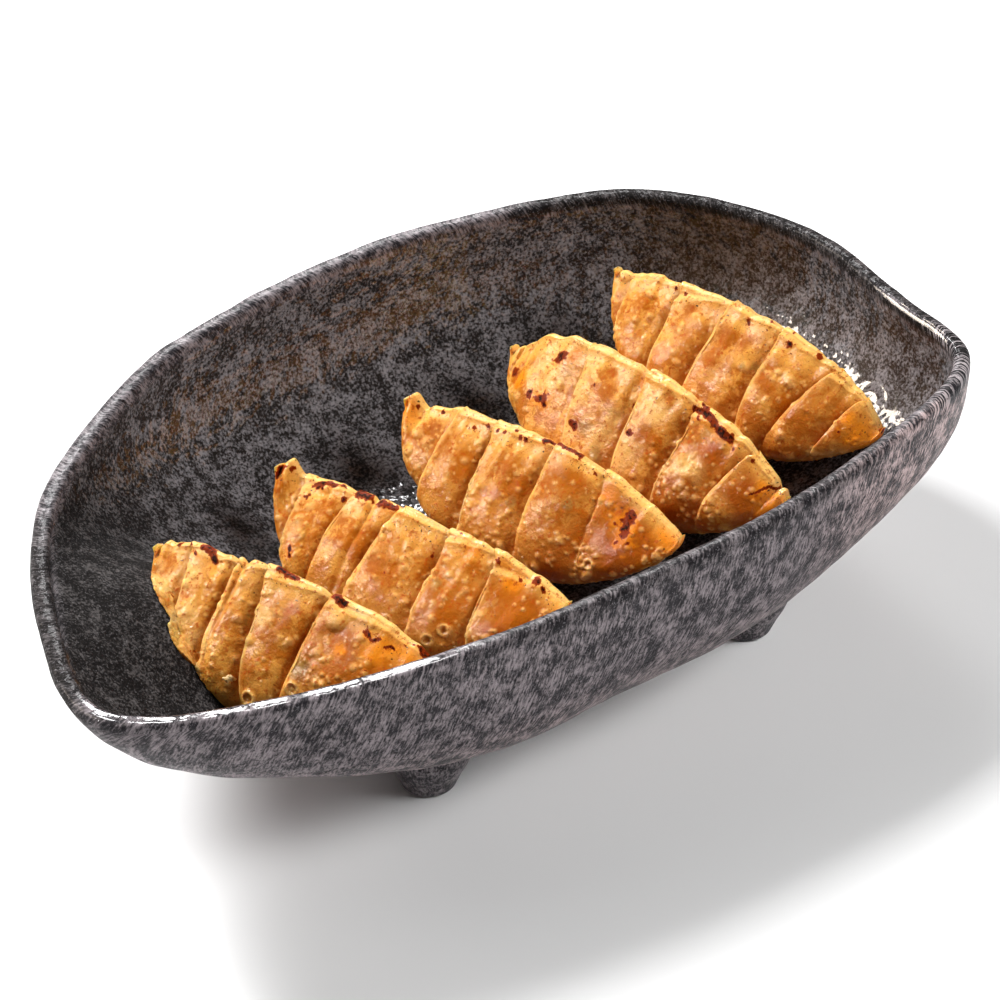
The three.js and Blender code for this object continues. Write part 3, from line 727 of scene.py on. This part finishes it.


# What the pan did to each one, found by place on the seam and depth (t, q); its pale
# patches are partly a painted sheen.
# streak: burnt line through places, then its half width. The third number of all the
# rest is a size: of the stain for spot, toast, amber, filling and pale, of the swelling
# for dome and crater, and of the flake for crumb.
FRYING = {
    1: dict(
        crumb=[(-0.10, 0.55, 1.25), (-0.93, 0.45, 0.35), (-0.85, 0.6, 0.3), (-0.5, 0.7, 0.35),
               (0.3, 0.7, 0.3)],
        streak=[([(-0.58, 0.01), (-0.53, 0.06), (-0.49, 0.11)], 0.75),
                ([(-0.10, 0.0), (0.0, 0.02)], 0.85),
                ([(0.22, 0.02), (0.31, 0.06)], 0.7), ([(0.86, 0.0), (0.95, 0.02)], 1.1),
                ([(0.51, 0.18), (0.55, 0.22), (0.59, 0.19)], 0.32),
                ([(0.64, 0.22), (0.67, 0.19), (0.70, 0.20)], 0.32)],
        spot=[(-0.80, 0.02, 0.7), (-0.70, 0.03, 0.5), (0.50, 0.19, 0.7), (-0.1, 0.03, 0.6)],
        toast=[(-0.86, 0.33, 4), (-0.71, 0.6, 3), (-0.58, 0.67, 3), (0.47, 0.41, 4),
               (0.6, 0.38, 4), (0.69, 0.33, 4), (0.2, 0.14, 3), (-0.05, 0.5, 4)],
        amber=[(0.67, 0.14, 5), (0.79, 0.11, 5), (0.62, 0.27, 3), (0.9, 0.2, 5), (0.42, 0.3, 2)],
        dome=[(0.31, 0.2, 2.6), (-0.27, 0.2, 1.5), (-0.43, 0.17, 1.1), (-0.85, 0.37, 0.9),
              (-0.46, 0.27, 0.9), (0.26, 0.5, 1.2)],
        crater=[(0.05, 0.58, 1.5), (0.27, 0.5, 1.3)],
        filling=[(0.27, 0.42, 2.5)],
        pale=[(-0.52, 0.42, 4), (-0.38, 0.5, 4), (-0.05, 0.3, 3), (-0.78, 0.5, 4),
              (-0.62, 0.3, 4)]),
    2: dict(
        crumb=[(-0.2, 0.6, 0.3), (0.5, 0.6, 0.35)],
        streak=[([(-0.68, 0.13), (-0.62, 0.05), (-0.55, 0.03)], 0.8),
                ([(-0.55, 0.01), (-0.40, 0.01)], 0.3), ([(-0.40, 0.03), (-0.31, 0.03)], 0.8),
                ([(-0.25, 0.05), (-0.17, 0.03)], 0.9), ([(-0.62, 0.50), (-0.6, 0.53)], 0.4)],
        spot=[(-0.89, 0.18, 0.6), (-0.88, 0.05, 0.5), (-0.70, 0.25, 0.7), (-0.47, 0.17, 0.8),
              (0.45, 0.15, 0.7), (0.61, 0.15, 0.6), (0.70, 0.07, 1.0), (0.76, 0.10, 0.8),
              (0.19, 0.01, 0.5), (0.12, 0.25, 0.5), (-0.97, 0.25, 1.4), (-0.99, 0.4, 1.2)],
        toast=[(-0.54, 0.26, 4), (-0.46, 0.3, 4), (-0.09, 0.35, 4), (0.0, 0.35, 4),
               (0.35, 0.23, 3), (0.37, 0.44, 4), (0.62, 0.26, 4), (0.72, 0.36, 3),
               (-0.3, 0.28, 3), (-0.95, 0.5, 4)],
        amber=[(0.58, 0.17, 3.5), (0.5, 0.1, 3), (0.3, 0.12, 3), (-0.37, 0.2, 0.8)],
        dome=[(-0.14, 0.31, 1.2), (-0.14, 0.26, 0.9), (0.01, 0.3, 1.0), (0.12, 0.45, 1.0),
              (0.43, 0.17, 1.6)],
        crater=[(0.41, 0.5, 1.2), (0.35, 0.56, 1.2), (0.08, 0.53, 1.0)],
        pale=[(-0.36, 0.2, 2.4)], filling=[(0.23, 0.34, 1.6)]),
    3: dict(
        crumb=[(-0.6, 0.55, 0.35), (0.2, 0.6, 0.3)],
        streak=[([(-0.02, 0.02), (0.08, 0.0), (0.2, 0.02)], 0.5),
                ([(0.62, 0.24), (0.63, 0.3), (0.65, 0.35)], 1.3)],
        spot=[(-0.89, 0.18, 0.5), (-0.68, 0.11, 0.6), (-0.40, 0.16, 0.7), (-0.34, 0.12, 0.6),
              (-0.26, 0.11, 0.6), (-0.22, 0.1, 0.5), (-0.17, 0.06, 0.6), (-0.13, 0.09, 0.6),
              (-0.10, 0.12, 0.6), (0.2, 0.03, 0.5), (0.31, 0.12, 0.5), (0.71, 0.4, 0.6)],
        toast=[(-0.36, 0.38, 4), (-0.36, 0.33, 4), (-0.02, 0.35, 4.5), (0.14, 0.3, 4),
               (0.47, 0.32, 3), (0.25, 0.21, 3), (-0.7, 0.3, 4), (0.45, 0.45, 3)],
        amber=[(-0.02, 0.03, 2), (0.06, 0.02, 2.5), (0.15, 0.02, 2.5), (-0.55, 0.06, 1.5),
               (0.45, 0.2, 3), (0.9, 0.15, 5), (0.64, 0.3, 3), (-1.0, 0.1, 5)],
        dome=[(-0.78, 0.37, 2.0), (-0.78, 0.53, 1.4), (-0.34, 0.24, 1.3)],
        crater=[(0.57, 0.57, 1.1)], filling=[(0.29, 0.32, 1.6), (0.0, 0.41, 1.5)]),
    4: dict(
        crumb=[(-0.6, 0.3, 0.35), (0.0, 0.5, 0.3)],
        streak=[([(0.27, 0.1), (0.36, 0.11), (0.44, 0.12), (0.52, 0.13)], 1.0),
                ([(0.80, 0.34), (0.85, 0.2), (0.875, 0.08), (0.885, 0.0)], 0.4),
                ([(-0.55, 0.47), (-0.5, 0.46)], 1.0)],
        spot=[(-0.53, 0.25, 2.0), (-0.22, 0.44, 1.3), (0.07, 0.37, 0.9), (-0.01, 0.3, 0.6),
              (-0.005, 0.11, 0.6), (0.69, 0.11, 0.6), (-0.62, 0.47, 1.2), (-0.85, 0.46, 1.3)],
        toast=[(-0.2, 0.2, 3), (0.14, 0.15, 2.5), (-0.75, 0.47, 3), (-0.82, 0.46, 3),
               (0.33, 0.25, 3), (0.2, 0.35, 3), (-0.15, 0.28, 3)],
        amber=[(0.35, 0.1, 3), (0.45, 0.11, 3), (0.27, 0.11, 2), (0.83, 0.25, 2.5),
               (-0.45, 0.22, 2), (-0.75, 0.45, 3), (-0.02, 0.15, 3), (0.9, 0.3, 4)],
        dome=[(-0.44, 0.38, 1.0), (0.2, 0.5, 1.0)],
        crater=[], filling=[(-0.17, 0.42, 2.2), (-0.05, 0.5, 2)],
        pale=[(-0.08, 0.44, 4), (-0.07, 0.36, 3), (-0.5, 0.36, 5), (-0.62, 0.26, 4),
              (-0.3, 0.32, 4), (0.1, 0.45, 5), (0.42, 0.36, 4), (-0.25, 0.5, 4), (0.12, 0.25, 4)]),
    5: dict(
        crumb=[(-0.4, 0.5, 0.3), (0.2, 0.55, 0.35)],
        streak=[([(0.985, 0.02), (0.998, 0.04)], 0.9)],
        spot=[(-0.41, 0.16, 0.6), (-0.49, 0.11, 0.5), (0.0, 0.12, 0.6), (0.1, 0.02, 0.5),
              (0.255, 0.13, 0.8), (0.415, 0.03, 0.9), (0.23, 0.02, 0.4)],
        toast=[(-0.61, 0.29, 4), (-0.33, 0.22, 3), (-0.05, 0.27, 4), (-0.06, 0.36, 3),
               (0.24, 0.33, 4), (0.40, 0.41, 3.5), (-0.8, 0.5, 3), (0.3, 0.36, 3)],
        amber=[(0.87, 0.36, 4), (0.92, 0.1, 4), (0.78, 0.33, 2), (0.91, 0.49, 4),
               (0.98, 0.3, 5), (0.95, 0.5, 5)],
        dome=[(-0.9, 0.08, 2.0)],
        crater=[], filling=[(0.15, 0.34, 1.3), (0.1, 0.35, 0.8)]),
}


def nearest(layout, at_t, at_q):
    """Index of the point of the pleated side nearest to a place and depth."""
    gap = np.abs(layout["t"] - at_t) + np.abs(layout["q"] - at_q) + 9 * (layout["side"] < 0)
    return int(np.argmin(gap))


def stain(points, layout, places, ragged=0.35):
    """Rounded stains, 0 to 1, with uneven edges."""
    total = np.zeros(len(points))
    for at_t, at_q, size in places:
        gap = np.linalg.norm(points - points[nearest(layout, at_t, at_q)], axis=1)
        gap = gap * (1 + ragged * lumps(points, size * 0.8, 60))
        total = np.maximum(total, 1 - ease(size * 0.35, size * 1.25, gap))
    return total


def burnt_lines(points, layout, streaks, spread=1.0):
    """Burnt lines, 0 to 1, with uneven edges and spread times their width."""
    total = np.zeros(len(points))
    for places, wide in streaks:
        corners = [points[nearest(layout, *place)] for place in places]
        for a, b in zip(corners, corners[1:]):
            part = np.clip((points - a) @ (b - a) / ((b - a) @ (b - a) + 1e-9), 0, 1)
            gap = np.linalg.norm(points - a - part[:, None] * (b - a), axis=1)
            gap = gap * (1 + 0.6 * lumps(points, 1.6, 61) + 0.5 * lumps(points, 0.8, 62))
            gap = gap / spread
            total = np.maximum(total, 1 - ease(wide * 0.5, wide * 1.3, gap))
    return total


def puff_up(points, layout, number):
    """What frying raised on a skin: how far each point rose and bubbled, and how pale it
    is, the paleness partly a painted highlight.

    The filling's lumps come first, then many pinhead blisters and fewer large ones,
    and last the domes and craters of this dumpling.
    """
    q, depth = layout["q"], layout["from_seam"]
    inner = ease(2.5, 8, depth)
    crisp = ease(0, 1.6, layout["past_edge"]) * ease(0, 1.6, layout["to_edge"])
    rise = 0.42 * lumps(points, 8.5, 10 + number) + 0.20 * lumps(points, 4.0, 20 + number)
    rise *= inner
    rise += 0.13 * lumps(points, 2.7, 25 + number) * inner * crisp
    rise += 0.07 * lumps(points, 1.7, 30 + number) * ease(1, 6, depth)
    rise += 0.30 * lumps(points, 5.0, 40 + number) * (1 - inner) * ease(0.5, 2, depth)
    bubbly = ease(-0.5, 0.6, lumps(points, 7.0, 45 + number)) * ease(4, 8, depth)
    pale = np.zeros(len(points))
    finder = kdtree.KDTree(len(points))
    for i, p in enumerate(points):
        finder.insert(p, i)
    finder.balance()
    draw = np.random.default_rng(100 + number)
    where = np.flatnonzero((q > 0.1) & (q < 0.93))
    chance = (bubbly[where] + 0.08) / (bubbly[where] + 0.08).sum()
    for low, high, share, count in BLISTERS:
        for i in draw.choice(where, count, replace=False, p=chance):
            size = draw.uniform(low, high)
            for _, j, gap in finder.find_range(points[i], size):
                dome = (1 - (gap / size) ** 2) ** 1.3
                rise[j] = max(rise[j], rise[j] * 0.6 + share * size * dome)
                pale[j] = max(pale[j], dome * 0.55)
    for at_t, at_q, size in FRYING[number]["dome"]:
        for _, j, gap in finder.find_range(points[nearest(layout, at_t, at_q)], size):
            dome = (1 - (gap / size) ** 2) ** 0.8
            rise[j] += 0.34 * size * dome
            pale[j] = max(pale[j], 0.5 * dome)
    for at_t, at_q, size in FRYING[number]["crater"]:
        for _, j, gap in finder.find_range(points[nearest(layout, at_t, at_q)], size * 1.5):
            ring = math.exp(-(((gap - size) / (0.28 * size)) ** 2))
            rise[j] += 0.30 * size * ring - 0.25 * size * max(0.0, 1 - gap / size)
            pale[j] = max(pale[j], 0.8 * ring)
    return rise, pale, bubbly


def paint_skin(piece, points, layout, number, pale, bubbly):
    """Paints what folding and frying did to each point of a skin, with painted shade in the
    creases, at the near end and at the bottom, and painted highlights on the flaps' edges.
    """
    d, marks = DUMPLINGS[number], FRYING[number]
    t, q, depth = layout["t"], layout["q"], layout["from_seam"]
    front = np.where(layout["side"] > 0, 1.0, 0.0)
    patchy = lumps(points, 6.0, 50 + number)
    waxy = 1 - ease(4.5, 8.5, depth + 1.8 * patchy)
    band = np.exp(-(((depth - 11) / 5.5) ** 2)) * ease(-0.5, 0.7, patchy) * 0.75
    # The flaps' left and top edges: paler thin dough, partly a painted highlight where they catch
    # the light.
    pale_lit_left_edge = np.exp(-((layout["past_edge"] / 0.7) ** 2)) * layout["edge_here"]
    pale_lit_top_edge = np.exp(-((layout["below_top"] / 0.018) ** 2)) * layout["on_flap"]
    paint(piece, "seam", np.maximum.reduce([np.exp(-((depth / 1.9) ** 2)) * 0.8,
                                            pale_lit_left_edge * front * 0.55, pale_lit_top_edge * front * 0.5]))
    paint(piece, "waxy", waxy * 0.85)
    paint(piece, "belly", d["tan"] * np.maximum(ease(18, 30, depth), 0.8 * bubbly))
    toasted = 0.8 * stain(points, layout, marks["toast"])
    paint(piece, "toast", np.maximum(d["tan"] * band * (1 - waxy), toasted))
    singed = 0.6 * burnt_lines(points, layout, marks["streak"], 2.4)
    paint(piece, "amber", np.maximum(stain(points, layout, marks["amber"]) * 0.85, singed))
    paint(piece, "filling", stain(points, layout, marks["filling"]) * 0.5)
    # Paler patches and blister tops: partly paler dough, partly a painted sheen.
    paint(piece, "pale", np.maximum(pale, 0.7 * stain(points, layout, marks.get("pale", []))))
    # Painted shade in the crease under each flap's edge and just over its top.
    groove = np.exp(-np.maximum(layout["to_edge"], 0)) * layout["edge_next"]
    shade_over_top = np.exp(-(((layout["below_top"] + 0.028) / 0.016) ** 2)) * layout["on_flap"]
    # The bottom of the belly: a browner fried crust, darkened further as painted shade.
    crust = ease(0.82, 0.97, q) * 0.6
    paint(piece, "groove",
          np.maximum.reduce([groove * 0.95, shade_over_top * 0.35, crust * 0.5]) * front)
    # Painted shade over the near end and beside each flap's edge.
    near_end_shade = ease(-0.2, 0.9, t + 0.30 * patchy) * ease(1, 7, depth) * (0.75 + 0.25 * patchy)
    shaded = 0.55 * np.exp(-np.maximum(layout["to_edge"], 0) / 3.0) * layout["edge_next"]
    paint(piece, "deep", np.maximum.reduce([near_end_shade * d["near_shade"], shaded * front, crust]))
    paint(piece, "specked", waxy * 0.8 + 0.35)
    burnt = burnt_lines(points, layout, marks["streak"])
    paint(piece, "char", np.maximum(burnt, stain(points, layout, marks["spot"], 0.6)))


DOUGH = fried_dough()
landed = []               # where crumbs stuck: place, normal, half length
for number, d in DUMPLINGS.items():
    local, layout = shape_dumpling(d)
    layout = {key: np.append(value.ravel(), value.ravel()[[0, -1]])
              for key, value in layout.items()}
    faces = []
    points = ring_skin(set_down(d, local), faces)
    piece = make_piece(f"dumpling_skin_{number}", points, faces)
    normals = surface_normals(piece)
    rise, pale, bubbly = puff_up(points, layout, number)
    points = points + normals * rise[:, None]
    move_points(piece, points)
    paint_skin(piece, points, layout, number, pale, bubbly)
    piece.data.materials.append(DOUGH)
    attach(piece, "root")
    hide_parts(f"dumpling_{number}")
    for at_t, at_q, size in FRYING[number]["crumb"]:
        i = nearest(layout, at_t, at_q)
        landed.append((points[i], normals[i], size))

# ------------------------------------------------------------------ crumbs
# Flakes of fried dough that broke off the seams and stuck to the oily skins. The
# largest lies low on the first dumpling.
# Rings of a flake, from its underside up: half length and height, as shares of its size.
CRUMB_RINGS = [(0.45, -0.12), (0.85, -0.02), (1.0, 0.08), (0.95, 0.17), (0.55, 0.20)]
CRUMB_POINTS = 16         # points round a flake
DARK_FLAKE = (0.62, 0.33, 0.09)
LIGHT_FLAKE = (0.95, 0.72, 0.36)
draw = np.random.default_rng(7)
points, faces = [], []
for place, up, size in landed:
    across = np.cross(up, (0.3, 0.2, 0.9))
    across /= np.linalg.norm(across)
    along = np.cross(up, across)
    turn = np.linspace(0, 2 * np.pi, CRUMB_POINTS, endpoint=False) + draw.uniform(0, 6)
    ragged = 1 + 0.16 * draw.uniform(-1, 1, CRUMB_POINTS) + 0.22 * np.cos(4 * turn)
    rings = [place + size * ((wide * ragged * np.cos(turn))[:, None] * across
                             + (0.7 * wide * ragged * np.sin(turn))[:, None] * along
                             + (high + 0.12 * np.sin(2 * turn))[:, None] * up)
             for wide, high in CRUMB_RINGS]
    loops = []
    flake = ring_skin(np.array(rings), loops)
    start = sum(len(part) for part in points)
    faces += [tuple(i + start for i in loop) for loop in loops]
    points.append(flake)
crumbs = make_piece("crumbs", np.vstack(points), faces)
crust = Finish("dry_dough_flake")
crumbly = crust.mottle(0.5, detail=3, rough=0.6)
crust.coat(Base_Color=crust.tint(crust.span(crumbly, 0.35, 0.65), DARK_FLAKE, LIGHT_FLAKE),
           Normal=crust.relief(crumbly, 0.25), Roughness=0.45, Specular_IOR_Level=0.3)
crumbs.data.materials.append(crust.material)
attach(crumbs, "root")

# ------------------------------------------------------------------ table and light
# A plain white table top and six square soft boxes. Three only light the serving. The
# other three only show in its gloss, as the bright bars on the lip, the wet shine and
# the glints on the dough. The surroundings are dim and white.
TABLE_REACH = 6           # metres from the middle to an edge
LIGHT_DISTANCE = 1.6      # metres
AIM = Vector((0, 0, 0.02))   # metres; where the lights point
SURROUNDINGS = 0.03       # brightness
corners = [(x * TABLE_REACH, y * TABLE_REACH, 0) for x, y in ((-1, -1), (1, -1), (1, 1), (-1, 1))]
table_mesh = bpy.data.meshes.new("table_top")
table_mesh.from_pydata(corners, [], [(0, 1, 2, 3)])
table = bpy.data.objects.new("table_top", table_mesh)
bpy.context.collection.objects.link(table)
white = Finish("white_table")
white.coat(Base_Color=(0.9, 0.9, 0.9), Roughness=0.6)
table_mesh.materials.append(white.material)


def soft_light(name, turn, rise, size, power, mirrored=True, lit=True, blue=1.0):
    """A soft box aimed at the dish; turn and rise are its direction in degrees.

    size is in metres and power in watts. mirrored: whether it shows in gloss. lit:
    whether it lights what isn't glossy. blue: below 1 its light is warmer.
    """
    turn, rise = math.radians(turn), math.radians(rise)
    place = Vector((math.cos(turn) * math.cos(rise), math.sin(turn) * math.cos(rise),
                    math.sin(rise))) * LIGHT_DISTANCE + AIM
    data = bpy.data.lights.new(name, "AREA")
    data.shape = "RECTANGLE"
    data.size = data.size_y = size
    data.energy = power
    data.color = (1, 0.5 + 0.5 * blue, blue)
    light = bpy.data.objects.new(name, data)
    light.location = place
    light.rotation_euler = (AIM - place).to_track_quat("-Z", "Y").to_euler()
    light.visible_glossy = mirrored
    light.visible_diffuse = lit
    bpy.context.collection.objects.link(light)


soft_light("window_light", 104, 47, 0.50, 44, mirrored=False)
soft_light("reflector", 309, 40, 0.70, 21, mirrored=False)
soft_light("left_fill", 144, 38, 0.60, 4, mirrored=False)
soft_light("rim_panel", 56, 37, 0.45, 25, lit=False)
soft_light("side_panel", 129, 39, 0.75, 50, lit=False, blue=0.72)
soft_light("spark_lamp", 152, 48, 0.16, 16, lit=False)
world = bpy.data.worlds.new("studio")
world.use_nodes = True
backdrop = world.node_tree.nodes["Background"]
backdrop.inputs["Color"].default_value = (1, 1, 1, 1)
backdrop.inputs["Strength"].default_value = SURROUNDINGS
bpy.context.scene.world = world
bpy.context.scene.view_settings.view_transform = "Standard"
